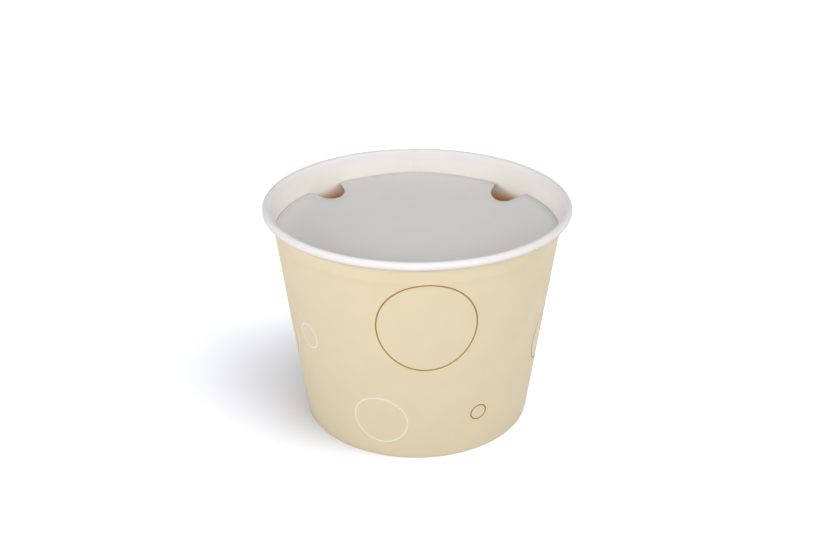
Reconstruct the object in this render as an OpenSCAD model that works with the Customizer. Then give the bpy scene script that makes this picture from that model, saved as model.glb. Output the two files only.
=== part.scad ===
// Food bucket: a round, tapered paperboard bucket with a rolled rim and a low shoulder under it,
// a bottom disc whose skirt is held in the folded hem, and a loose inner disc with two finger
// notches that rests on the shoulder. The origin is the centre of the base on the floor, +Z is up,
// -Y is the front, and the lap seam of the sidewall runs down the back at +Y.

/* [Sidewall] */
// Outer diameter of the sidewall at the floor
base_d = 142.4; // [120:0.1:160]
// Height from the floor to the top of the rim
height = 137.8; // [110:0.1:180]
// Thickness of the sidewall board
board_t = 0.5; // [0.4:0.05:0.6]

/* [Rim] */
// Outer diameter over the rolled rim
rim_d = 185; // [165:0.1:200]
// Outside diameter of the roll itself
curl_d = 5.1; // [4.5:0.1:7]
// Clearance between the turns of the roll
curl_gap = 0.15; // [0.1:0.01:0.25]
// How far the last turn runs on inside the roll, in degrees
curl_tail = 80; // [30:5:120]
// How much the wall widens where it runs into the roll
root_flare = 0.65; // [0.2:0.05:1.5]
// Height of that widening below the middle of the roll
root_h = 3.55; // [2.5:0.05:8]

/* [Shoulder] */
// Distance from the top of the rim down to the lower crease
shoulder_drop = 18.4; // [14:0.1:30]
// Height of the sloping band between the two creases
shoulder_h = 4; // [3:0.1:6]
// How far the band steps out beyond the plain taper
shoulder_step = 0.36; // [0.2:0.02:1]

/* [Base] */
// Thickness of the bottom disc's board
bottom_t = 0.45; // [0.35:0.05:0.6]
// Height of the bottom disc's upper face above the floor
bottom_rise = 8.5; // [7:0.1:15]
// Outside radius of the bend between the bottom disc and its skirt
bottom_bend = 1.2; // [0.8:0.1:2]
// Height of the hem that is folded up inside the skirt
hem_h = 6; // [4:0.1:6.5]
// Outside radius of the hem's fold at the floor
hem_round = 0.4; // [0.2:0.05:0.4]
// Clearance on each side of the skirt in the hem
glue_gap = 0.05; // [0.03:0.01:0.1]

/* [Seam] */
// Angle of the lap's inner edge from the back, seen from inside
seam_angle = -1.15; // [-10:0.05:10]
// Width of the lap where the two layers lie on each other, at the base
lap_w = 7; // [5:0.5:12]
// Width over which the inner layer runs back out into the plain wall, at the base
lap_blend = 16.5; // [12:0.5:25]
// How far the two glued layers of the lap are pressed into each other
lap_press = 0.08; // [0.05:0.01:0.15]

/* [Inner disc] */
// Thickness of the loose inner disc
insert_t = 0.8; // [0.5:0.05:1.5]
// Height of its underside above the shoulder's lower crease
seat_rise = 1.9; // [1:0.1:2.8]
// Clearance between its edge and the shoulder
insert_clear = 0.15; // [0.1:0.01:0.3]
// How far the loose disc is turned clockwise, seen from above
insert_turn = 1; // [-20:0.5:20]
// Angle of each notch's round end from the back
notch_angle = 50.2; // [35:0.1:80]
// Depth of each notch from the disc's edge
notch_depth = 21; // [15:0.1:30]
// Diameter of each notch's round end
notch_d = 17.8; // [14:0.1:22]
// How far each notch leans from the radius towards the back, in degrees
notch_lean = 25; // [0:0.5:30]
// Angle that each side of a notch opens outwards
notch_flare = 13.5; // [0:0.5:20]
// Radius of the corners where a notch meets the disc's edge
notch_corner = 4; // [2:0.5:10]

/* [Hidden] */
$fn = 180;

// Rim: the roll starts at the mouth, goes over, out and down, and tucks in beside the wall
rim_r = rim_d / 2;
curl_r = curl_d / 2;
curl_z = height - curl_r;
mouth_r = rim_r - curl_d;
root_r = mouth_r + board_t;
neck_z = curl_z - root_h;
neck_r = root_r - root_flare;

// Plain taper from the floor to the neck, and the shoulder that steps across it
base_r = base_d / 2;
function taper_r(z) = base_r + (neck_r - base_r) * z / neck_z;
low_z = height - shoulder_drop;
low_r = taper_r(low_z) - shoulder_step / 2;
top_z = low_z + shoulder_h;
top_r = taper_r(top_z) + shoulder_step / 2;

// Lower wall and hem: every layer keeps the lean of the wall
lean = (low_r - base_r) / low_z;
lean_a = atan(lean);
skirt_w = bottom_t / cos(lean_a);
skirt_off = board_t + glue_gap;
leg_off = skirt_off + skirt_w + glue_gap;
hem_w = leg_off + board_t;
function wall_r(z) = base_r + lean * z;

// Seam: the inner layer is the same wall with its centre moved sideways
lap_a = lap_w / base_r * 180 / PI;
blend_a = lap_blend / base_r * 180 / PI;
seam_end = seam_angle + lap_a + blend_a;
seam_move = (board_t - lap_press) / sin(lap_a + blend_a);
seam_shift = [seam_move * sin(seam_end + 90), seam_move * cos(seam_end + 90), 0];

// Angle that keeps the bottom and the inner disc clear of the lap's step, and joins the bottom's two rings
seam_play = 0.15;

// Largest turn between two points of a small curve
arc_step = 15;

// Inner disc
seat_z = low_z + seat_rise;
seat_r = low_r - board_t + (top_r - low_r) * seat_rise / shoulder_h;
insert_r = seat_r - insert_clear;

function reverse(list) = [for (i = [len(list) - 1:-1:0]) list[i]];

// A slice of the bucket between two angles from the back, from a radius outwards
module slice(a0, a1, r0 = 0) {
    far = rim_d;
    linear_extrude(height = height + 2)
        polygon([
            [r0 * sin(a0), r0 * cos(a0)],
            [far * sin(a0), far * cos(a0)],
            [far * sin(a1), far * cos(a1)],
            [r0 * sin(a1), r0 * cos(a1)]
        ]);
}

// Points along an arc, one every few degrees
function arc(centre, r, a0, a1) =
    let (n = ceil(abs(a1 - a0) / arc_step))
    [for (i = [0:n]) centre + r * [cos(a0 + (a1 - a0) * i / n), sin(a0 + (a1 - a0) * i / n)]];

// Outline of the roll: along the board's hollow side to its cut end, then back along its full side
module curl_2d() {
    under_r = (rim_r - root_r - curl_gap) / 2;
    tail_r = curl_r - board_t - curl_gap;
    over = [rim_r - curl_r, curl_z];
    under = [rim_r - under_r, curl_z];
    polygon(concat(
        arc(over, curl_r - board_t, 180, 0),
        arc(under, under_r - board_t, 0, -180),
        arc(over, tail_r - board_t, 180, 180 - curl_tail),
        arc(over, tail_r, 180 - curl_tail, 180),
        arc(under, under_r, -180, 0),
        arc(over, curl_r, 0, 180)
    ));
}

// Faces of the board between the base and the middle of the roll, going up
wall_out = [[low_r, low_z], [top_r, top_z], [neck_r, neck_z], [root_r, curl_z]];
wall_in = [for (p = wall_out) p - [board_t, 0]];

// Rounded foot of the wall at the floor, going out and up, and of the hem, going out and down
foot_out = arc(
    [base_r + lean * hem_round - hem_round / cos(lean_a), hem_round], hem_round, -90, -lean_a
);
foot_in = arc(
    [base_r - hem_w + lean * hem_round + hem_round / cos(lean_a), hem_round],
    hem_round, 180 - lean_a, 270
);

// Outline of the board with its hem: it folds under the skirt and up inside it
module folded_wall_2d() {
    polygon(concat(
        foot_out,
        wall_out,
        reverse(wall_in),
        [
            [wall_r(board_t) - board_t, board_t],
            [wall_r(board_t) - leg_off, board_t],
            [wall_r(hem_h) - leg_off, hem_h],
            [wall_r(hem_h) - hem_w, hem_h]
        ],
        foot_in
    ));
}

// Outline of the board alone, as it lies on the outside of the lap
module plain_wall_2d() {
    polygon(concat(foot_out, wall_out, reverse(wall_in), [[base_r - board_t, 0]]));
}

// Sidewall: one blank rolled into a cone, lapped at the back, with the rim and the hem formed on it
module sidewall() {
    color("white") {
        difference() {
            rotate_extrude() folded_wall_2d();
            slice(seam_angle, seam_end);
        }
        intersection() {
            rotate_extrude() plain_wall_2d();
            slice(seam_angle, seam_angle + lap_a);
        }
        intersection() {
            translate(seam_shift) rotate_extrude() folded_wall_2d();
            slice(seam_angle, seam_end);
        }
        rotate_extrude() curl_2d();
    }
}

// Radius of the skirt's outer face, the centre of the bend above it, and the panel that overlaps its flat start
function skirt_r(z) = wall_r(z) - skirt_off;
bend_z = bottom_rise - bottom_bend;
bend_r = skirt_r(bend_z) - bottom_bend / cos(lean_a);
panel_r = bend_r - board_t;
bend_start = panel_r - board_t;

// Outline of the bottom disc's edge: the flat start inside the panel, the bend and the leaning skirt
module skirt_2d() {
    foot_z = board_t + glue_gap;
    polygon(concat(
        [[bend_start, bottom_rise]],
        arc([bend_r, bend_z], bottom_bend, 90, -lean_a),
        [[skirt_r(foot_z), foot_z], [skirt_r(foot_z) - skirt_w, foot_z]],
        arc([bend_r, bend_z], bottom_bend - bottom_t, -lean_a, 90),
        [[bend_start, bottom_rise - bottom_t]]
    ));
}

// Bottom disc: a flat panel above the floor with a skirt turned down into the hem
module bottom() {
    play = seam_play;
    color("white") {
        translate([0, 0, bottom_rise - bottom_t])
            cylinder(r = panel_r, h = bottom_t);
        difference() {
            rotate_extrude() skirt_2d();
            slice(seam_angle - play, seam_end);
        }
        intersection() {
            translate(seam_shift) rotate_extrude() skirt_2d();
            slice(seam_angle + play, seam_end + play);
        }
    }
}

// Distance of a notch's round end from the axis, and the leaning directions of one of its sides:
// across it into the board, and along it outwards; side is -1 nearer the back and 1 nearer the front
notch_y = insert_r - notch_depth + notch_d / 2;
function leaned(p) = [
    p[0] * cos(notch_lean) - p[1] * sin(notch_lean),
    p[0] * sin(notch_lean) + p[1] * cos(notch_lean)
];
function across(side) = leaned([side * cos(notch_flare), -sin(notch_flare)]);
function outward(side) = leaned([side * sin(notch_flare), cos(notch_flare)]);

// Centre of a rounded corner: corner_in inside the disc's circle and inside a side of the notch, a
// little less than the corner's radius, so that its arc meets both at a clear angle
corner_in = 0.97 * notch_corner;
function corner_centre(side) =
    let (
        start = [0, notch_y] + across(side) * (notch_d / 2 + corner_in),
        along = start * outward(side),
        reach = insert_r - corner_in
    )
    start + outward(side) * (sqrt(along * along - start * start + reach * reach) - along);

// What a rounded corner takes off the disc: the tip beyond its circle, between the notch and the edge
module corner_2d(side) {
    centre = corner_centre(side);
    in = -2 * notch_corner * across(side);
    out = 2 * notch_corner * centre / norm(centre);
    difference() {
        polygon([centre, centre + in, centre + in + out, centre + out]);
        translate(centre) circle(notch_corner);
    }
}

// Outline of one finger notch on the right: a round end, two sides that open outwards, two corners
module notch_2d() {
    r = notch_d / 2;
    run = notch_depth + notch_d;
    side = [cos(notch_flare), -sin(notch_flare)];
    open = [sin(notch_flare), cos(notch_flare)];
    rotate(-notch_angle) {
        translate([0, notch_y])
            rotate(notch_lean) {
                circle(r);
                polygon([
                    [-r * side[0], r * side[1]],
                    [0, 0],
                    r * side,
                    r * side + run * open,
                    [-r * side[0] - run * open[0], r * side[1] + run * open[1]]
                ]);
            }
        corner_2d(-1);
        corner_2d(1);
    }
}

// Inner disc: a loose flat disc that rests on the shoulder and is lifted by its finger notches
module inner_disc() {
    color("gainsboro")
        translate([0, 0, seat_z])
            linear_extrude(height = insert_t)
                difference() {
                    circle(insert_r);
                    rotate(-insert_turn) {
                        notch_2d();
                        mirror([1, 0]) notch_2d();
                    }
                    difference() {
                        polygon([
                            [0, 0],
                            [rim_d * sin(seam_angle - seam_play), rim_d * cos(seam_angle - seam_play)],
                            [rim_d * sin(seam_end), rim_d * cos(seam_end)]
                        ]);
                        translate([seam_shift[0], seam_shift[1]]) circle(insert_r);
                    }
                }
}

sidewall();
bottom();
inner_disc();
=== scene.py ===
"""Looks of the food bucket: a printed paperboard bucket with a rolled rim, its bottom disc and its loose
inner disc, on a pale floor. Lengths are in metres, +Z is up, -Y is the front."""

import math

import bpy
import numpy as np
from bpy.props import FloatProperty, FloatVectorProperty, IntProperty, PointerProperty
from mathutils import Matrix, Vector
from mathutils.geometry import delaunay_2d_cdt


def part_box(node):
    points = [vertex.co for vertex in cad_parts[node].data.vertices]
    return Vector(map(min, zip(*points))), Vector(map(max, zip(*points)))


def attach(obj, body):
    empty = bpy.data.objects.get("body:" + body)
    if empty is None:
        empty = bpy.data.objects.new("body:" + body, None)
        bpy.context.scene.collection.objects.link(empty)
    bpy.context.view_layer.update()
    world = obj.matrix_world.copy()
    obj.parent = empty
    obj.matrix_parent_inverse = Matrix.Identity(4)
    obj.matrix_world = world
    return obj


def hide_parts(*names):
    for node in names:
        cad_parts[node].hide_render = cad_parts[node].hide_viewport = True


bl_info = {
    "name": "Food bucket",
    "version": (1, 0, 0),
    "blender": (4, 5, 0),
    "location": "View3D > Sidebar > Food bucket",
    "description": "Builds the printed paperboard food bucket on its CAD frame",
    "category": "Add Mesh",
}

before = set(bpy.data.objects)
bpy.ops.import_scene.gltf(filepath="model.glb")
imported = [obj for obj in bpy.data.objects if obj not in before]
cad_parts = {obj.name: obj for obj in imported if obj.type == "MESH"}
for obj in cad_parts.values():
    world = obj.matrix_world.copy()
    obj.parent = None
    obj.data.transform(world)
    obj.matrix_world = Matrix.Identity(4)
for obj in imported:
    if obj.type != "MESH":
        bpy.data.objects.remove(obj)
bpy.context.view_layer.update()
WALL_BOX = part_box("sidewall")
DISC_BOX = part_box("inner_disc")
MM = 0.001

# Angles round the bucket, in degrees from the front towards +X. The sheet of the sidewall starts at the
# outer flap's edge, goes round the front and ends at the inner flap's edge, a little past a full turn.
OUTER_FLAP_EDGE = -184.48
INNER_FLAP_EDGE = 181.15
# The outer flap's hem is trimmed back before these angles, where the inner flap's hem lies
TRIM_ANGLES = (-178.95, -178.8)
# The inner flap moves in between these angles
RAMP_ANGLES = (160.5, 175.0)
# The outer flap's roll draws in under the inner flap's, and runs back out between these angles
DRAW_IN_ANGLES = (-178.9, -168.0)
# Slope of the blank's unrolled plan: the sine of the wall's lean, and the plan's radius at the floor
PLAN_SINE = 0.12078
PLAN_RADIUS = 0.58932
# Gap between boards that lie on each other in the hem, and between the layers of the roll
HEM_GAP = 0.05 * MM
ROLL_GAP = 0.15 * MM

# Circles of the print on the unrolled blank: across, up from the floor, radius (mm) and the line's colour
PRINT_CIRCLES = (
    (5.7, 94.5, 28.6, "brown"),
    (-21.5, 26.7, 16.1, "pale"),
    (37.8, 27.9, 5.0, "brown"),
    (-72.5, 67.5, 7.8, "pale"),
    (104.5, 51.6, 19.3, "mauve"),
    (-114.3, 49.0, 20.0, "mauve"),
    (-129.0, 103.0, 6.0, "brown"),
    (-150.5, 22.0, 9.0, "pale"),
    (134.0, 96.0, 9.5, "pale"),
    (139.0, 24.0, 6.0, "brown"),
    (-176.0, 76.0, 27.0, "brown"),
    (170.0, 62.0, 15.5, "pale"),
    (-203.0, 24.0, 12.5, "mauve"),
    (205.0, 22.0, 10.0, "brown"),
    (214.0, 104.0, 17.0, "mauve"),
)

# Each finger notch as it is cut, measured from its own axis: side of the disc, its two corners on the disc's circle
# (degrees), its two corners in the board (mm across towards the front, mm out from the centre), and the radii (mm)
NOTCHES = {
    "left": (-1.0, (-11.9, 5.1), ((-8.9, 68.0), (8.2, 62.1)), (7.4, 19.4, 7.1, 0.8)),
    "right": (1.0, (-13.4, 4.5), ((-7.6, 65.6), (9.5, 60.8)), (8.0, 24.1, 5.9, 1.3)),
}

# Soft lamps at a great distance: name, bearing from the front towards +X and elevation (degrees), strength
LAMPS = (
    ("left", -75.0, 8.0, 1.6),
    ("right", 70.0, 10.0, 1.23),
    ("right_high", 75.0, 55.0, 0.51),
    ("top", 0.0, 89.0, 0.48),
    ("back", 180.0, 45.0, 0.37),
)
# Distant lamps that light the floor alone, for a soft and neutral shadow on the left
FLOOR_LAMPS = (
    ("floor_front", 0.0, 60.0, 0.64),
    ("floor_right", 60.0, 45.0, 1.27),
    ("floor_side", 100.0, 45.0, 0.55),
    ("floor_top", 0.0, 89.0, 1.15),
)
# Round lamps near the camera, which light the bucket alone: name, place (metres), power (watts)
NEAR_LAMPS = (
    ("key", (0.0, -0.8, 0.46), 2.3),
    ("near_left", (-0.46, -0.65, 0.4), 1.6),
    ("near_right", (0.46, -0.65, 0.4), 1.0),
)
NEAR_LAMP_SIZE = 0.35
NEAR_LAMP_AIM = (0.0, 0.0, 0.08)
# Collection of the pieces that the near lamps light
LIT_PIECES = "bucket"
# The light that comes through the boards below the inner disc: place, softness (metres) and colour
INNER_LAMP = ((0.0, 0.0, 0.075), 0.03, (1.0, 0.8, 0.6))
# The camera's small turns about the vertical and about its own axis (radians)
CAMERA_YAW = -0.001019
CAMERA_ROLL = 0.00058


def srgb(red, green, blue):
    """A colour given by its 0 to 255 display values, as linear values."""
    c = np.array([red, green, blue]) / 255.0
    linear = np.where(c <= 0.04045, c / 12.92, ((c + 0.055) / 1.055) ** 2.4)
    return tuple(float(v) for v in linear)


def length_property(name, description, default):
    """A length in metres."""
    return FloatProperty(name=name, description=description, default=default, unit="LENGTH")


def angle_property(name, description, default):
    """An angle in radians."""
    return FloatProperty(name=name, description=description, default=default, unit="ROTATION")


def colour_property(name, description, *display):
    """A colour whose default is given by 0 to 255 display values."""
    return FloatVectorProperty(name=name, description=description, subtype="COLOR", size=3, default=srgb(*display))


class BucketSizes(bpy.types.PropertyGroup):
    """Sizes of the bucket's board and folds"""

    height: length_property("Height", "Floor to the top of the rim", WALL_BOX[1][2])
    rim_radius: length_property("Rim radius", "Axis to the outside of the roll", WALL_BOX[1][0])
    base_radius: length_property("Base radius", "Outer radius of the wall at the floor", 71.2 * MM)
    board: length_property("Board", "Thickness of the sidewall board", 0.5 * MM)
    roll: length_property("Rim roll", "Outside diameter of the rolled rim", 5.1 * MM)
    shoulder_drop: length_property("Shoulder drop", "Rim top to the lower crease", 18.4 * MM)
    shoulder_height: length_property("Shoulder height", "Height of the sloping band", 4.0 * MM)
    shoulder_step: length_property("Shoulder step", "How far the band steps out", 0.36 * MM)
    hem_height: length_property("Hem height", "Height of the folded hem", 6.0 * MM)
    bottom_board: length_property("Bottom board", "Thickness of the bottom disc", 0.45 * MM)
    bottom_rise: length_property("Bottom rise", "Floor to the bottom disc's upper face", 8.5 * MM)
    lap_step: length_property("Lap step", "How far the inner flap lies inside the outer one", 0.42 * MM)
    rim_wobble: length_property("Rim wobble", "How far the rim strays from a true circle", 0.22 * MM)
    columns: IntProperty(name="Columns", description="Steps round the bucket", default=240, min=60, max=400)


class NotchSizes(bpy.types.PropertyGroup):
    """Sizes of the loose inner disc and its finger notches"""

    radius: length_property("Radius", "Radius of the inner disc", DISC_BOX[1][0])
    turn: angle_property("Turn", "How far the loose disc is turned clockwise", math.radians(1.0))
    bearing: angle_property("Bearing", "Angle of a notch's axis from the back", math.radians(50.5))
    bevel: length_property("Bevel", "Width of the worn upper edge", 0.18 * MM)
    back_lift: length_property("Back lift", "How far the lap lifts the edge at the back", 0.85 * MM)


class BoardColours(bpy.types.PropertyGroup):
    """Colours of the boards and of the print"""

    cream: colour_property("Cream", "Ground colour of the print", 222, 207, 176)
    brown: colour_property("Brown line", "Brown circles", 150, 113, 43)
    pale: colour_property("Pale line", "Pale circles", 233, 227, 221)
    mauve: colour_property("Mauve line", "Mauve circles", 152, 116, 100)
    line_width: length_property("Line width", "Width of a printed line", 0.85 * MM)
    inside: colour_property("Inside", "Lined white board", 227, 225, 219)
    rim: colour_property("Rim", "White board on the roll", 226, 222, 221)
    disc: colour_property("Inner disc", "Upper face of the inner disc", 216, 215, 213)
    kraft: colour_property("Kraft", "Unbleached underside of the inner disc", 176, 132, 84)
    # Painted shade: the wall below the inner disc is coloured darker and brown, like shade lit only by light bounced
    # off the kraft underside
    painted_bounce_shade: colour_property("Painted_shade", "White board darkened below the inner disc", 214, 162, 112)
    cut_edge: colour_property("Cut edge", "Bare core of the board", 205, 178, 145)


class StageSettings(bpy.types.PropertyGroup):
    """Camera and light"""

    lens: FloatProperty(name="Lens", description="Focal length in mm", default=43.905)
    camera_distance: length_property("Camera distance", "From the axis, level", 0.56608)
    camera_height: length_property("Camera height", "Above the floor", 0.36442)
    camera_pitch: angle_property("Camera pitch", "Downward tilt", 0.45892)
    spread: angle_property("Spread", "Angle over which a distant lamp is spread", math.radians(45.0))
    inner_watts: FloatProperty(
        name="Inner light", description="Power of the soft lamp below the inner disc", default=0.033, unit="POWER"
    )
    ambient: FloatProperty(name="Ambient", description="Strength of the even surround", default=0.11)
    floor_bounce: FloatProperty(
        name="Floor bounce", description="White of the floor as it lights the bucket", default=0.32
    )
    floor_white: FloatProperty(
        name="Floor white", description="White of the floor as the camera sees it", default=0.82
    )


def smooth(value, low, high):
    """0 below low, 1 above high, and 3t^2 - 2t^3 of the share t between them."""
    t = np.clip((np.asarray(value, float) - low) / (high - low), 0.0, 1.0)
    return t * t * (3.0 - 2.0 * t)


def round_corners(points, radii, arc_points=9):
    """A polyline whose corner k is replaced by an arc of radius k that touches both its sides.

    The arc starts radius * tan(turn / 2) before the corner, and its centre lies radius to the side of the turn."""
    parts = [points[:1]]
    for before, corner, after, radius in zip(points[:-2], points[1:-1], points[2:], radii):
        come = (corner - before) / np.linalg.norm(corner - before)
        go = (after - corner) / np.linalg.norm(after - corner)
        turn = math.atan2(come[0] * go[1] - come[1] * go[0], float(come @ go))
        back = radius * math.tan(abs(turn) / 2.0)
        side = np.array([-come[1], come[0]]) * math.copysign(1.0, turn)
        centre = corner - come * back + side * radius
        cos, sin = np.cos(np.linspace(0.0, turn, arc_points)), np.sin(np.linspace(0.0, turn, arc_points))
        spoke = -side * radius
        parts.append(centre + np.stack([spoke[0] * cos - spoke[1] * sin, spoke[0] * sin + spoke[1] * cos], -1))
    parts.append(points[-1:])
    return np.concatenate(parts)


def arc(centre, radius, start, end, count):
    """Points at centre + radius * (cos, sin) of evenly spaced angles, in degrees."""
    angle = np.radians(np.linspace(start, end, count))
    return np.asarray(centre) + radius * np.stack([np.cos(angle), np.sin(angle)], -1)


def thicken_path(path, thickness):
    """The two faces of a board whose middle line is path: path plus and minus half the thickness along its normal.

    The normal is the tangent turned a quarter clockwise. Also returns the distance along the middle line."""
    step = np.diff(path, axis=0)
    length = np.linalg.norm(step, axis=1)
    along = np.concatenate([[0.0], np.cumsum(length)])
    unit = step / length[:, None]
    tangent = np.concatenate([unit[:1], unit[:-1] + unit[1:], unit[-1:]])
    tangent /= np.linalg.norm(tangent, axis=1)[:, None]
    normal = np.stack([tangent[:, 1], -tangent[:, 0]], -1)
    # at a corner the offset point lies further out, by one over the cosine of half the turn
    stretch = 1.0 / np.clip(np.einsum("ij,ij->i", tangent, np.concatenate([unit, unit[-1:]])), 0.8, 1.0)
    shift = normal * (thickness / 2.0 * stretch)[:, None]
    return path + shift, path - shift, along


def split_long(path, longest):
    """The path with every straight stretch cut into equal parts no longer than longest."""
    step = np.linalg.norm(np.diff(path, axis=0), axis=1)
    count = np.maximum(1, np.ceil(step / longest).astype(int))
    start = np.repeat(path[:-1], count, axis=0)
    run = np.repeat(np.diff(path, axis=0), count, axis=0)
    share = np.concatenate([np.arange(c) / c for c in count])
    return np.concatenate([start + run * share[:, None], path[-1:]])


def round_the_axis(radius, height, angle):
    """Points at radius (sin angle, -cos angle) and height: angle 0 is the front."""
    return np.stack([radius * np.sin(angle), -radius * np.cos(angle), height + 0.0 * radius], -1)


def signed_volume(points, quads):
    """A sixth of the sum of corner triple products over both triangles of each quad."""
    a, b, c, d = (points[quads[:, k]] for k in range(4))
    first = np.einsum("ij,ij->i", a, np.cross(b, c))
    second = np.einsum("ij,ij->i", a, np.cross(c, d))
    return float((first + second).sum() / 6.0)


def grid_quads(rows, columns, wrap_rows, wrap_columns):
    """Corner numbers of the quads of a grid whose point (row, column) is row * columns + column."""
    r = np.arange(rows if wrap_rows else rows - 1)[:, None]
    c = np.arange(columns if wrap_columns else columns - 1)[None, :]
    r2, c2 = (r + 1) % rows, (c + 1) % columns
    corners = [r * columns + c, r * columns + c2, r2 * columns + c2, r2 * columns + c]
    return np.stack(corners, -1).reshape(-1, 4)


def mesh_piece(name, points, faces, materials, material_numbers, plan=None):
    """A mesh object at the origin, with smooth faces, sharp folds past 35 degrees, and the plan as its UV map.

    It also joins the collection that the near lamps light."""
    mesh = bpy.data.meshes.new(name)
    mesh.from_pydata(points.tolist(), [], [list(f) for f in faces])
    for material in materials:
        mesh.materials.append(material)
    mesh.polygons.foreach_set("material_index", np.asarray(material_numbers, np.int32))
    mesh.polygons.foreach_set("use_smooth", np.ones(len(mesh.polygons), bool))
    if plan is not None:
        layer = mesh.uv_layers.new(name="board_plan")
        corner = np.empty(len(mesh.loops), np.int32)
        mesh.loops.foreach_get("vertex_index", corner)
        layer.data.foreach_set("uv", plan[corner].astype(np.float32).ravel())
    mesh.validate()
    mesh.update()
    mesh.set_sharp_from_angle(angle=math.radians(35.0))
    piece = bpy.data.objects.new(name, mesh)
    bpy.context.scene.collection.objects.link(piece)
    bpy.data.collections[LIT_PIECES].objects.link(piece)
    return piece


class Weave:
    """Adds shader nodes to the tree of a material or a world, and links them."""

    def __init__(self, owner):
        """Gives the owner an empty node tree."""
        owner.use_nodes = True
        self.owner = owner
        self.tree = owner.node_tree
        self.tree.nodes.clear()

    def feed(self, socket, value):
        """Links another node's output to the socket, or sets the socket to a constant."""
        if isinstance(value, bpy.types.NodeSocket):
            self.tree.links.new(value, socket)
        elif socket.type == "RGBA":
            socket.default_value = (*value[:3], 1.0)
        else:
            socket.default_value = value

    def add(self, kind, settings=None, **inputs):
        """One node; a socket is named as in Blender with spaces as underscores, or by number as n0, n1."""
        node = self.tree.nodes.new(kind)
        for key, value in (settings or {}).items():
            setattr(node, key, value)
        for key, value in inputs.items():
            number = key[1:]
            self.feed(node.inputs[int(number) if number.isdigit() else key.replace("_", " ")], value)
        return node

    def maths(self, operation, *values):
        """The result of a maths operation on one or two values."""
        node = self.add("ShaderNodeMath", {"operation": operation})
        for socket, value in zip(node.inputs, values):
            self.feed(socket, value)
        return node.outputs[0]

    def mix(self, share, first, second):
        """Colour first where share is 0 and second where it is 1."""
        return self.add("ShaderNodeMix", {"data_type": "RGBA"}, n0=share, n6=first, n7=second).outputs[2]

    def between(self, value, low, high, to_low=0.0, to_high=1.0):
        """A smooth step: to_low where the value is under low, to_high where it is over high."""
        node = self.add("ShaderNodeMapRange", {"interpolation_type": "SMOOTHSTEP"}, Value=value)
        for name, limit in (("From Min", low), ("From Max", high), ("To Min", to_low), ("To Max", to_high)):
            node.inputs[name].default_value = limit
        return node.outputs[0]

    def noise(self, place, scale, detail=3.0, roughness=0.55):
        """Cloudy noise from 0 to 1, with scale features to a metre."""
        node = self.add("ShaderNodeTexNoise", Vector=place, Scale=scale, Detail=detail, Roughness=roughness)
        return node.outputs["Fac"]

    def object_place(self):
        """Object coordinates."""
        return self.add("ShaderNodeTexCoord").outputs["Object"]

    def place(self, stretch=(1.0, 1.0, 1.0)):
        """Object coordinates, stretched."""
        return self.add("ShaderNodeMapping", n0=self.object_place(), n3=stretch).outputs[0]

    def finish(self, colour, roughness, bump, depth, specular):
        """The board's shader: colour, roughness, a bump of the given depth in metres, and the strength of shine."""
        tilt = self.add("ShaderNodeBump", Height=bump, Distance=depth, Strength=1.0).outputs[0]
        shader = self.add(
            "ShaderNodeBsdfPrincipled",
            Base_Color=colour,
            Roughness=roughness,
            Specular_IOR_Level=specular,
            Normal=tilt,
        )
        self.add("ShaderNodeOutputMaterial", Surface=shader.outputs[0])
        return self.owner


def new_weave(name):
    """The nodes of a new material."""
    return Weave(bpy.data.materials.new(name))


def board_texture(weave, colour, mottle, fibre):
    """Board colour with cloudy mottling and fine fibres, the height of its grain, and the share of cloud."""
    place = weave.place()
    cloudy = weave.between(weave.noise(place, 55.0, 4.0, 0.6), 0.35, 0.65)
    speck = weave.noise(place, 900.0, 3.0, 0.6)
    specky = weave.between(speck, 0.4, 0.62)
    strands = weave.noise(weave.place((1.0, 1.0, 0.35)), 2600.0, 2.0, 0.5)
    dimmed = 1.0 - 3.0 * mottle
    if isinstance(colour, bpy.types.NodeSocket):
        shade = weave.add("ShaderNodeHueSaturation", Color=colour, Value=dimmed).outputs[0]
    else:
        shade = tuple(dimmed * c for c in colour)
    tinted = weave.mix(weave.maths("MULTIPLY", cloudy, 0.33), colour, shade)
    tinted = weave.mix(weave.maths("MULTIPLY", specky, fibre / mottle * 0.2), tinted, shade)
    height = weave.maths("ADD", weave.maths("MULTIPLY", speck, 0.5), weave.maths("MULTIPLY", strands, 0.5))
    return tinted, height, cloudy


def printed_board(colours):
    """Coated cream board with thin circles: each circle is where the distance from its centre on the
    board's flat plan lies within half a line of its radius."""
    weave = new_weave("printed_board")
    plan = weave.add("ShaderNodeUVMap", {"uv_map": "board_plan"}).outputs[0]
    half = colours.line_width / 2.0
    soft = 0.12 * MM
    masks = {}
    for across, up, radius, ink in PRINT_CIRCLES:
        centre = (across * MM, up * MM, 0.0)
        away = weave.add("ShaderNodeVectorMath", {"operation": "DISTANCE"}, n0=plan, n1=centre).outputs["Value"]
        off_line = weave.maths("ABSOLUTE", weave.maths("SUBTRACT", away, radius * MM))
        line = weave.between(off_line, half - soft, half + soft, 1.0, 0.0)
        masks[ink] = weave.maths("MAXIMUM", masks[ink], line) if ink in masks else line
    tinted, height, cloudy = board_texture(weave, colours.cream, mottle=0.02, fibre=0.012)
    for ink in ("pale", "mauve", "brown"):
        tinted = weave.mix(masks[ink], tinted, getattr(colours, ink))
    roughness = weave.between(cloudy, 0.0, 1.0, 0.5, 0.56)
    return weave.finish(tinted, roughness, height, 0.012 * MM, specular=0.35)


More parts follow.
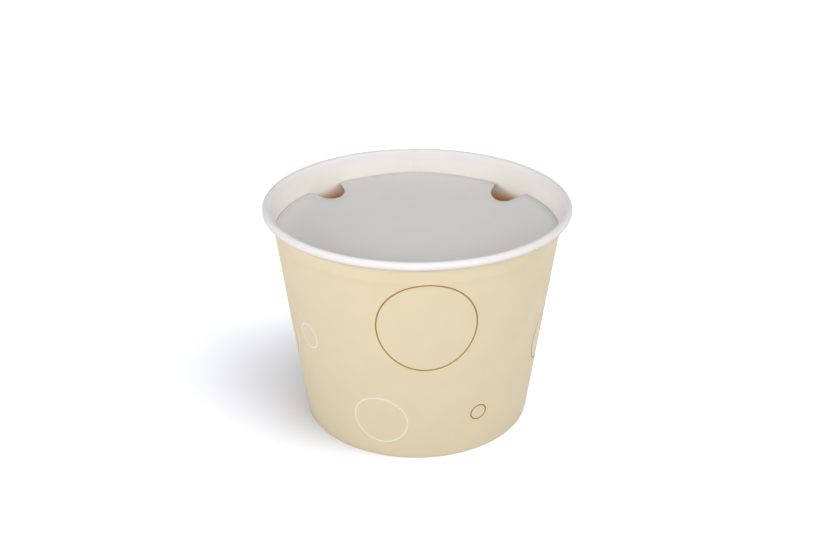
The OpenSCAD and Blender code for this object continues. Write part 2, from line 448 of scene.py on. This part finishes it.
def lined_board(colours):
    """White board: warmer on the wall, cooler on the roll, and painted with shade below the inner disc, brown like
    light bounced off the kraft underside.
    """
    weave = new_weave("lined_board")
    up = weave.add("ShaderNodeSeparateXYZ", n0=weave.object_place()).outputs[2]
    on_roll = weave.between(up, 130.0 * MM, 133.5 * MM)
    ground = weave.mix(on_roll, colours.inside, colours.rim)
    # Painted shade below the inner disc, brown like light bounced off the kraft underside: full from 100 to 111 mm
    # up, fading out by 120 mm and down towards 20 mm
    below_disc = weave.between(up, 111.0 * MM, 120.0 * MM, 1.0, 0.0)
    above_base = weave.between(up, 20.0 * MM, 100.0 * MM)
    ground = weave.mix(weave.maths("MULTIPLY", below_disc, above_base), ground, colours.painted_bounce_shade)
    tinted, height, cloudy = board_texture(weave, ground, mottle=0.012, fibre=0.01)
    roughness = weave.between(cloudy, 0.0, 1.0, 0.62, 0.7)
    return weave.finish(tinted, roughness, height, 0.01 * MM, specular=0.2)


def bare_edge(colours):
    """The open core of the board at a cut, rough and mottled."""
    weave = new_weave("bare_board_edge")
    tinted, height, _ = board_texture(weave, colours.cut_edge, mottle=0.06, fibre=0.05)
    return weave.finish(tinted, 0.85, height, 0.03 * MM, specular=0.2)


def disc_face(colours):
    """Matt white face of the inner disc."""
    weave = new_weave("disc_face")
    tinted, height, cloudy = board_texture(weave, colours.disc, mottle=0.012, fibre=0.012)
    roughness = weave.between(cloudy, 0.0, 1.0, 0.6, 0.68)
    return weave.finish(tinted, roughness, height, 0.015 * MM, specular=0.3)


def kraft_board(colours):
    """Unbleached brown board with fibres and dark flecks."""
    weave = new_weave("kraft_board")
    tinted, height, _ = board_texture(weave, colours.kraft, mottle=0.06, fibre=0.08)
    fleck = weave.between(weave.noise(weave.place((1.0, 0.3, 1.0)), 1500.0, 2.0), 0.66, 0.72)
    dark = tuple(0.6 * c for c in colours.kraft)
    tinted = weave.mix(weave.maths("MULTIPLY", fleck, 0.35), tinted, dark)
    return weave.finish(tinted, 0.8, height, 0.03 * MM, specular=0.2)


def wall_line(sizes):
    """Numbers of the sidewall's section that several pieces share, worked out as in the CAD model.

    The wall's slope goes from the base to the neck, which lies a little under and inside the root of the roll. The
    lower crease of the shoulder stands half a step inside this slope, and the upper one half a step outside it."""
    roll_radius = sizes.roll / 2.0
    roll_z = sizes.height - roll_radius
    root = sizes.rim_radius - sizes.roll + sizes.board
    neck_drop, neck_inset = 3.55 * MM, 0.65 * MM
    neck_z = roll_z - neck_drop
    neck = root - neck_inset
    slope = (neck - sizes.base_radius) / neck_z
    low_z = sizes.height - sizes.shoulder_drop
    low = sizes.base_radius + slope * low_z - sizes.shoulder_step / 2.0
    top_z = low_z + sizes.shoulder_height
    top = sizes.base_radius + slope * top_z + sizes.shoulder_step / 2.0
    lean = (low - sizes.base_radius) / low_z
    return {
        "roll_radius": roll_radius,
        "roll_z": roll_z,
        "root": root,
        "neck_z": neck_z,
        "neck": neck,
        "low_z": low_z,
        "low": low,
        "top_z": top_z,
        "top": top,
        "lean": lean,
        "skirt_width": sizes.bottom_board * math.sqrt(1.0 + lean * lean),
    }


def lap_ramp(angle):
    """How far the inner flap has moved in, from 0 to 1, at an angle from the front in radians."""
    return smooth(np.degrees(angle), *RAMP_ANGLES)


def board_line(sizes, wall):
    """Middle line of the sidewall's board: down the hem's leg, round the fold, up the wall and round the roll.

    The roll is a half turn over the top, a half turn below it and a smaller arc tucked inside. Also returns how
    many of the points come before the roll."""
    half = sizes.board / 2.0
    lean = wall["lean"]
    hem_width = 2.0 * sizes.board + wall["skirt_width"] + 2.0 * HEM_GAP
    foot = sizes.base_radius - half
    leg = sizes.base_radius - hem_width + half
    corners = np.array(
        [
            [leg + lean * sizes.hem_height, sizes.hem_height],
            [leg + lean * half, half],
            [foot + lean * half, half],
            [wall["low"] - half, wall["low_z"]],
            [wall["top"] - half, wall["top_z"]],
            [wall["neck"] - half, wall["neck_z"]],
            [wall["root"] - half, wall["roll_z"]],
        ]
    )
    fold_radii = np.array([0.34, 0.34, 1.6, 9.0, 8.0]) * MM
    up = split_long(round_corners(corners, fold_radii), 7.0 * MM)
    under_radius = (sizes.rim_radius - wall["root"] - ROLL_GAP) / 2.0
    over = [sizes.rim_radius - wall["roll_radius"], wall["roll_z"]]
    under = [sizes.rim_radius - under_radius, wall["roll_z"]]
    turns = (
        arc(over, wall["roll_radius"] - half, 180.0, 0.0, 21),
        arc(under, under_radius - half, 0.0, -180.0, 19),
        arc(over, wall["roll_radius"] - sizes.board - ROLL_GAP - half, 180.0, 100.0, 9),
    )
    return np.concatenate([up, *(turn[1:] for turn in turns)]), len(up)


class FOODBUCKET_OT_sidewall(bpy.types.Operator):
    """Builds the sidewall: one board wrapped round, with its hem, shoulder, rolled rim and lap"""

    bl_idname = "foodbucket.sidewall"
    bl_label = "Sidewall"

    def execute(self, context):
        sizes, colours = context.scene.bucket_sizes, context.scene.board_colours
        wall = wall_line(sizes)
        half = sizes.board / 2.0
        foot = sizes.base_radius - half
        path, before_roll = board_line(sizes, wall)
        outer, inner, along = thicken_path(path, sizes.board)
        floor_mark = along[int(np.argmin(np.abs(path[:, 1] - half) + (path[:, 0] < foot - half)))]

        # The board's outline is its outer face going up and its inner face coming back
        count = len(path)
        outline = np.concatenate([outer, inner[::-1]])
        lengthwise = np.concatenate([along, along[::-1]]) - floor_mark
        part = np.concatenate([np.arange(count), np.arange(count)[::-1]])
        in_roll = smooth(part, before_roll - 3, before_roll + 8)
        hem_part = part < np.argmax(path[:, 0] > foot - 0.1 * MM)

        angle = np.radians(np.linspace(OUTER_FLAP_EDGE, INNER_FLAP_EDGE, sizes.columns + 1))
        angle = np.sort(np.concatenate([angle, np.radians(TRIM_ANGLES)]))
        a = angle[:, None]
        radius = np.repeat(outline[None, :, 0], len(angle), 0)
        height = np.repeat(outline[None, :, 1], len(angle), 0)

        # Inner flap: the wall and hem move in, the roll stays
        radius = radius - sizes.lap_step * lap_ramp(a) * (1.0 - in_roll)
        # Outer flap: the roll draws in under the inner one, towards its own middle
        draw_in_share = 0.16
        draw_in = draw_in_share * (1.0 - smooth(np.degrees(a), *DRAW_IN_ANGLES)) * in_roll
        radius = radius + draw_in * (sizes.rim_radius - wall["roll_radius"] - radius)
        height = height + draw_in * (wall["roll_z"] - height)
        # Outer flap: the hem is trimmed back to the fold where the inner flap's hem lies
        trim_out, trim_down = 0.9, 0.8
        trimmed = (1.0 - smooth(np.degrees(a), *TRIM_ANGLES)) * hem_part[None, :]
        radius = radius + trim_out * trimmed * (foot + wall["lean"] * height - radius)
        height = height * (1.0 - trim_down * trimmed)
        # The rim strays a little from a true circle, only inwards, and fades out above the shoulder
        stray = 0.5 + 0.25 * np.sin(2.0 * a + 1.9) + 0.15 * np.sin(3.0 * a + 0.4) + 0.1 * np.sin(7.0 * a)
        radius = radius - sizes.rim_wobble * stray * smooth(height, 125.0 * MM, 135.0 * MM)
        points = round_the_axis(radius, height, a).reshape(-1, 3)

        # The blank's plan: the angle is turned down by the cone's sine, and the height is the board's length
        turned_down = a * PLAN_SINE
        reach = PLAN_RADIUS + lengthwise[None, :]
        plan = np.stack([reach * np.sin(turned_down), reach * np.cos(turned_down) - PLAN_RADIUS], -1)

        # Material numbers: 0 outside, 1 inside, 2 the cut edges; the caps close the sheet's two ends
        columns = len(outline)
        quads = grid_quads(len(angle), columns, False, True)
        face_column = np.tile(np.arange(columns), len(angle) - 1)
        numbers = np.where(face_column < count - 1, 0, 1)
        numbers[(face_column == count - 1) | (face_column == columns - 1)] = 2
        up_side = np.arange(count - 1)
        down_side = columns - 1 - up_side
        cap = np.stack([up_side, up_side + 1, down_side - 1, down_side], -1)
        last = (len(angle) - 1) * columns
        quads = np.concatenate([quads, cap[:, ::-1], cap + last])
        numbers = np.concatenate([numbers, np.full(2 * len(cap), 2)])
        if signed_volume(points, quads) < 0.0:
            quads = quads[:, ::-1]
        materials = [printed_board(colours), lined_board(colours), bare_edge(colours)]
        piece = mesh_piece("printed_sidewall", points, quads, materials, numbers, plan.reshape(-1, 2))
        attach(piece, "root")
        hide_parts("sidewall")
        return {"FINISHED"}


class FOODBUCKET_OT_bottom(bpy.types.Operator):
    """Builds the bottom disc: a panel above the floor whose skirt runs down into the hem"""

    bl_idname = "foodbucket.bottom"
    bl_label = "Bottom disc"

    def execute(self, context):
        sizes, colours = context.scene.bucket_sizes, context.scene.board_colours
        wall = wall_line(sizes)
        lean = wall["lean"]
        skirt = sizes.base_radius - sizes.board - HEM_GAP - wall["skirt_width"] / 2.0
        foot_z = sizes.board + HEM_GAP
        panel_z = sizes.bottom_rise - sizes.bottom_board / 2.0
        corners = np.array([[0.0, panel_z], [skirt + lean * panel_z, panel_z], [skirt + lean * foot_z, foot_z]])
        path = split_long(round_corners(corners, [1.0 * MM]), 6.0 * MM)
        # The first face lies on the right of the path, which here is the underside
        upper, lower, _ = thicken_path(path, sizes.bottom_board)
        outline = np.concatenate([lower[1:], upper[1:][::-1]])

        # The last column stands just before the first, as the skirt steps back out behind the inner flap's edge
        angle = np.radians(np.append(np.linspace(-178.6, 180.0, sizes.columns), 181.1))
        a = angle[:, None]
        radius = np.repeat(outline[None, :, 0], len(angle), 0)
        height = np.repeat(outline[None, :, 1], len(angle), 0)
        flat_radius = path[-1, 0] - 4.0 * MM
        radius = radius - sizes.lap_step * lap_ramp(a) * smooth(radius, flat_radius, flat_radius + 3.0 * MM)
        # The panel is drawn a little hollow, with a faint wave round it
        hollow, wave = 0.25 * MM, 0.08 * MM
        height = height - hollow * (1.0 - smooth(radius, 0.0, flat_radius))
        share = np.clip(radius / flat_radius, 0.0, 1.0)
        height = height + wave * np.sin(3.0 * a + 0.7) * np.sin(math.pi * share)
        points = round_the_axis(radius, height, a).reshape(-1, 3)

        # A ring of quads, and a fan round the pole of each face
        columns = len(outline)
        quads = grid_quads(len(angle), columns, True, False)
        top_pole, low_pole = len(points), len(points) + 1
        poles = np.array([[0.0, 0.0, lower[0, 1] - hollow], [0.0, 0.0, upper[0, 1] - hollow]])
        points = np.concatenate([points, poles])
        ring = np.arange(len(angle)) * columns
        after = np.roll(ring, -1)
        top_fan = np.stack([ring, after, np.full_like(ring, top_pole)], -1)
        low_fan = np.stack([after + columns - 1, ring + columns - 1, np.full_like(ring, low_pole)], -1)
        if signed_volume(points, quads) < 0.0:
            quads = quads[:, ::-1]
        else:
            top_fan, low_fan = top_fan[:, ::-1], low_fan[:, ::-1]
        faces = quads.tolist() + top_fan.tolist() + low_fan.tolist()

        # Material numbers: 0 above, 1 the cut edge of the skirt, 2 below
        cut_column = len(path) - 2
        numbers = np.tile(1 + np.sign(np.arange(columns - 1) - cut_column), len(angle))
        numbers = np.concatenate([numbers, np.zeros(len(ring), int), np.full(len(ring), 2)])
        materials = [lined_board(colours), bare_edge(colours), disc_face(colours)]
        piece = mesh_piece("bottom_panel", points, faces, materials, numbers)
        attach(piece, "root")
        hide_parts("bottom")
        return {"FINISHED"}


def turned(points, by):
    """Points of the plan turned anticlockwise by an angle."""
    c, s = math.cos(by), math.sin(by)
    return points @ np.array([[c, s], [-s, c]])


def on_circle(radius, bearings):
    """Points of the plan at a radius and at bearings that run clockwise from the back."""
    return radius * np.stack([np.sin(bearings), np.cos(bearings)], -1)


def notch_outline(notch, mouth, inner, radii):
    """A notch's outline on the right side of the disc, seen from above with the back at +Y, clockwise.

    It is a line through its four corners and 5 degrees of the disc's circle on each side, each corner made an arc."""
    tail = 5.0
    bearings = np.radians([mouth[0] - tail, mouth[0], mouth[1], mouth[1] + tail])
    edge = on_circle(notch.radius, bearings)
    corners = np.concatenate([edge[:2], np.array(inner) * MM, edge[2:]])
    path = split_long(round_corners(corners, np.array(radii) * MM, 13), 1.0 * MM)
    return turned(path, -notch.bearing)


def notch_cut(notch, name):
    """One notch placed on the disc: mirrored for the left side, then turned with the disc."""
    side, *shape = NOTCHES[name]
    cut = notch_outline(notch, *shape) * np.array([side, 1.0])
    return turned(cut if side > 0.0 else cut[::-1], -notch.turn)


def inside_loop(points, loop):
    """Which points lie inside a closed line: where a ray towards +X crosses it an odd number of times."""
    start, end = loop, np.roll(loop, -1, 0)
    x, y = points[:, 0, None], points[:, 1, None]
    spans = (start[:, 1] > y) != (end[:, 1] > y)
    rise = np.where(start[:, 1] == end[:, 1], 1.0, end[:, 1] - start[:, 1])
    crossing = start[:, 0] + (y - start[:, 1]) / rise * (end[:, 0] - start[:, 0])
    return (spans & (x < crossing)).sum(1) % 2 == 1


def signed_area(triangle):
    """Twice the area of a plan triangle, above 0 where its corners run anticlockwise."""
    first, second = triangle[1] - triangle[0], triangle[2] - triangle[0]
    return float(first[0] * second[1] - first[1] * second[0])


def fill_loop(loop, spacing):
    """Plan points and triangles of a flat face with the given outline and an even lattice of points inside it.

    The lattice's rows lie spacing * sqrt(3) / 2 apart, each shifted by half a step from the last; points nearer
    the outline than 0.7 of a step are left out, and a constrained Delaunay triangulation joins the rest."""
    reach = np.abs(loop).max()
    rows = np.arange(-reach, reach, spacing * math.sqrt(3.0) / 2.0)
    steps = np.arange(-reach, reach, spacing)
    shift = np.arange(len(rows)) % 2 * spacing / 2.0
    across = steps[None, :] + shift[:, None]
    lattice = np.stack([across, np.repeat(rows[:, None], len(steps), 1)], -1).reshape(-1, 2)
    away = np.linalg.norm(lattice[:, None, :] - loop[None, :, :], axis=-1).min(1)
    lattice = lattice[(away > 0.7 * spacing) & inside_loop(lattice, loop)]
    points = np.concatenate([loop, lattice])
    outline = [list(range(len(loop)))]
    # in millimetres, so that the triangulation's tolerance suits
    vectors = [Vector(point) for point in (points / MM).tolist()]
    found, _, triangles, originals, _, _ = delaunay_2d_cdt(vectors, [], outline, 1, 1e-6)
    if len(found) != len(points) or any(sources != [k] for k, sources in enumerate(originals)):
        raise RuntimeError("The disc's outline crosses itself")
    return points, np.array(triangles)


def disc_edge(notch):
    """The inner disc's outline, clockwise from above: short arc at the back, right notch, long arc, left notch.

    Where the lap stands in, the edge keeps clear of it."""
    left_cut, right_cut = notch_cut(notch, "left"), notch_cut(notch, "right")

    def bearing(point):
        """A point's angle, clockwise from the back."""
        return math.atan2(point[0], point[1])

    back = np.linspace(bearing(left_cut[-1]), bearing(right_cut[0]), 50)[1:-1]
    front = np.linspace(bearing(right_cut[-1]), 2.0 * math.pi + bearing(left_cut[0]), 190)[1:-1]
    edge = np.concatenate([on_circle(notch.radius, back), right_cut, on_circle(notch.radius, front), left_cut])
    from_front = np.pi - np.arctan2(edge[:, 0], edge[:, 1])
    clear_of_lap = 0.44 * MM
    at_back = (edge[:, 1] > 70.0 * MM) & (np.degrees(from_front) < INNER_FLAP_EDGE + 0.45)
    return edge * (1.0 - lap_ramp(from_front) * at_back * clear_of_lap / notch.radius)[:, None]


class FOODBUCKET_OT_inner_disc(bpy.types.Operator):
    """Builds the loose inner disc with its two finger notches"""

    bl_idname = "foodbucket.inner_disc"
    bl_label = "Inner disc"

    def execute(self, context):
        notch, colours = context.scene.notch_sizes, context.scene.board_colours
        edge = disc_edge(notch)
        tangent = np.roll(edge, -1, 0) - np.roll(edge, 1, 0)
        tangent /= np.linalg.norm(tangent, axis=1)[:, None]
        inward = np.stack([tangent[:, 1], -tangent[:, 0]], -1)

        # The face is filled up to a narrow worn bevel; the cut edge is two more loops between both faces
        plan, triangles = fill_loop(edge + inward * notch.bevel, 5.0 * MM)
        top, low = DISC_BOX[1][2], DISC_BOX[0][2]
        layers = [(plan, top), (edge, top - 0.6 * notch.bevel), (edge, low + 0.3 * notch.bevel), (plan, low)]
        points = np.concatenate([np.column_stack([layer, np.full(len(layer), z)]) for layer, z in layers])

        # The board bows by a fraction of a millimetre, and the lap lifts its edge at the back
        away = np.linalg.norm(points[:, :2], axis=-1) / notch.radius
        from_back = np.arctan2(points[:, 0], points[:, 1])
        bow = 0.05 * away**2 * (np.sin(2.0 * from_back + 0.6) - 1.0) * (1.0 - away**8) - 0.12 * (1.0 - away**2)
        beside_lap = 1.0 - smooth(np.abs(from_back), math.radians(5.0), math.radians(24.0))
        lift = beside_lap * smooth(away, 0.55, 1.0)
        points[:, 2] += (bow - 0.2) * MM + notch.back_lift * lift

        count = len(edge)
        loops = np.array([0, len(plan), len(plan) + count, len(plan) + 2 * count])
        number = np.arange(count)
        after = np.roll(number, -1)
        strips = np.concatenate(
            [
                np.stack([upper + number, upper + after, lower + after, lower + number], -1)
                for upper, lower in zip(loops[:-1], loops[1:])
            ]
        )
        if signed_area(plan[triangles[0]]) < 0.0:
            triangles = triangles[:, ::-1]
        faces = triangles.tolist() + (triangles[:, ::-1] + loops[3]).tolist() + strips.tolist()

        # Material numbers: 0 above, 1 the cut edge, 2 below
        numbers = np.repeat([0, 2, 1], [len(triangles), len(triangles), len(strips)])
        materials = [disc_face(colours), bare_edge(colours), kraft_board(colours)]
        piece = mesh_piece("notched_disc", points, faces, materials, numbers)
        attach(piece, "root")
        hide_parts("inner_disc")
        return {"FINISHED"}


def floor_material(white, bounce):
    """Matt floor that looks white to the camera and lights the bucket with less."""
    weave = new_weave("pale_floor")
    rays = weave.add("ShaderNodeLightPath").outputs
    reflected = weave.maths("MAXIMUM", rays["Is Glossy Ray"], rays["Is Transmission Ray"])
    seen = weave.maths("MAXIMUM", rays["Is Camera Ray"], reflected)
    tone = weave.mix(seen, (bounce,) * 3, (0.985 * white, white, 1.06 * white))
    matt = weave.add("ShaderNodeBsdfDiffuse", Color=tone).outputs[0]
    weave.add("ShaderNodeOutputMaterial", Surface=matt)
    return weave.owner


def place_floor(scene, stage):
    """A flat floor, wide enough to fill the picture."""
    mesh = bpy.data.meshes.new("floor")
    reach = 6.0
    corners = [(-reach, -reach, 0.0), (reach, -reach, 0.0), (reach, reach, 0.0), (-reach, reach, 0.0)]
    mesh.from_pydata(corners, [], [(0, 1, 2, 3)])
    mesh.materials.append(floor_material(stage.floor_white, stage.floor_bounce))
    floor = bpy.data.objects.new("floor", mesh)
    scene.collection.objects.link(floor)
    return floor


def add_lamp(name, kind, energy, place, towards):
    """A lamp at a place whose light comes from the given direction."""
    lamp = bpy.data.lights.new(name, kind)
    lamp.energy = energy
    holder = bpy.data.objects.new(name, lamp)
    holder.location = place
    holder.rotation_euler = Vector(towards).to_track_quat("Z", "Y").to_euler()
    bpy.context.scene.collection.objects.link(holder)
    return lamp


def place_lamps(scene, stage, floor):
    """All lamps. The near ones light only the pieces of the bucket, and the floor's own ones only the floor."""
    lit = bpy.data.collections.new(LIT_PIECES)
    for name, place, watts in NEAR_LAMPS:
        lamp = add_lamp(name, "AREA", watts, place, Vector(place) - Vector(NEAR_LAMP_AIM))
        lamp.shape, lamp.size = "DISK", NEAR_LAMP_SIZE
        scene.objects[name].light_linking.receiver_collection = lit
    place, softness, colour = INNER_LAMP
    inner = add_lamp("inner", "POINT", stage.inner_watts, place, (0.0, 0.0, 1.0))
    inner.shadow_soft_size, inner.color = softness, colour
    for name, bearing, elevation, strength in LAMPS + FLOOR_LAMPS:
        bearing, elevation = math.radians(bearing), math.radians(elevation)
        level = math.cos(elevation)
        towards = (math.sin(bearing) * level, -math.cos(bearing) * level, math.sin(elevation))
        add_lamp(name, "SUN", strength, (0.0, 0.0, 1.0), towards).angle = stage.spread
    shaded = bpy.data.collections.new("floor")
    shaded.objects.link(floor)
    for name, *_ in FLOOR_LAMPS:
        scene.objects[name].light_linking.receiver_collection = shaded


def white_surround(ambient):
    """A world that looks white to the camera and lights the scene evenly with the ambient strength."""
    weave = Weave(bpy.data.worlds.new("surround"))
    rays = weave.add("ShaderNodeLightPath").outputs
    even = weave.add("ShaderNodeBackground", Color=(1.0, 1.0, 1.0), Strength=ambient).outputs[0]
    white = weave.add("ShaderNodeBackground", Color=(1.0, 1.0, 1.0)).outputs[0]
    choose = weave.add("ShaderNodeMixShader", n0=rays["Is Camera Ray"], n1=even, n2=white).outputs[0]
    weave.add("ShaderNodeOutputWorld", Surface=choose)
    return weave.owner


def place_camera(scene, stage):
    """The camera, in front of the bucket and above it, with the photo's small turns."""
    lens = bpy.data.cameras.new("camera")
    lens.sensor_width, lens.lens = 36.0, stage.lens
    lens.clip_start, lens.clip_end = 0.01, 50.0
    camera = bpy.data.objects.new("camera", lens)
    pitch, yaw, roll = stage.camera_pitch, CAMERA_YAW, CAMERA_ROLL
    forward = Vector((math.sin(yaw) * math.cos(pitch), math.cos(yaw) * math.cos(pitch), -math.sin(pitch)))
    level = Vector((math.cos(yaw), -math.sin(yaw), 0.0))
    rise = level.cross(forward)
    right = math.cos(roll) * level + math.sin(roll) * rise
    above = -math.sin(roll) * level + math.cos(roll) * rise
    turn = Matrix((right, above, -forward)).transposed().to_4x4()
    camera.matrix_world = Matrix.Translation((0.0, -stage.camera_distance, stage.camera_height)) @ turn
    scene.collection.objects.link(camera)
    scene.camera = camera


class FOODBUCKET_OT_stage(bpy.types.Operator):
    """Sets up the floor, the soft lights, the white surround and the camera"""

    bl_idname = "foodbucket.stage"
    bl_label = "Stage"

    def execute(self, context):
        scene = context.scene
        stage = scene.stage_settings
        floor = place_floor(scene, stage)
        place_lamps(scene, stage, floor)
        scene.world = white_surround(stage.ambient)
        place_camera(scene, stage)
        scene.view_settings.view_transform = "Standard"
        return {"FINISHED"}


class FOODBUCKET_PT_panel(bpy.types.Panel):
    """Lists the bucket's settings and its building steps"""

    bl_idname = "FOODBUCKET_PT_panel"
    bl_label = "Food bucket"
    bl_space_type = "VIEW_3D"
    bl_region_type = "UI"
    bl_category = "Food bucket"

    def draw(self, context):
        scene = context.scene
        for group in (scene.bucket_sizes, scene.notch_sizes, scene.board_colours, scene.stage_settings):
            box = self.layout.box()
            for name in group.bl_rna.properties.keys():
                if name not in {"rna_type", "name"}:
                    box.prop(group, name)
        for step in STEPS:
            self.layout.operator(step.bl_idname)


STEPS = (FOODBUCKET_OT_stage, FOODBUCKET_OT_sidewall, FOODBUCKET_OT_bottom, FOODBUCKET_OT_inner_disc)
GROUPS = {
    "bucket_sizes": BucketSizes,
    "notch_sizes": NotchSizes,
    "board_colours": BoardColours,
    "stage_settings": StageSettings,
}
CLASSES = (*GROUPS.values(), *STEPS, FOODBUCKET_PT_panel)


def register():
    """Registers the classes and hangs the settings on the scene."""
    for cls in CLASSES:
        bpy.utils.register_class(cls)
    for name, group in GROUPS.items():
        setattr(bpy.types.Scene, name, PointerProperty(type=group))


def unregister():
    """Takes the settings off the scene and unregisters the classes."""
    for name in GROUPS:
        delattr(bpy.types.Scene, name)
    for cls in reversed(CLASSES):
        bpy.utils.unregister_class(cls)


def main():
    """Builds the stage and every piece."""
    register()
    bpy.ops.foodbucket.stage()
    bpy.ops.foodbucket.sidewall()
    bpy.ops.foodbucket.bottom()
    bpy.ops.foodbucket.inner_disc()


if __name__ == "__main__":
    main()
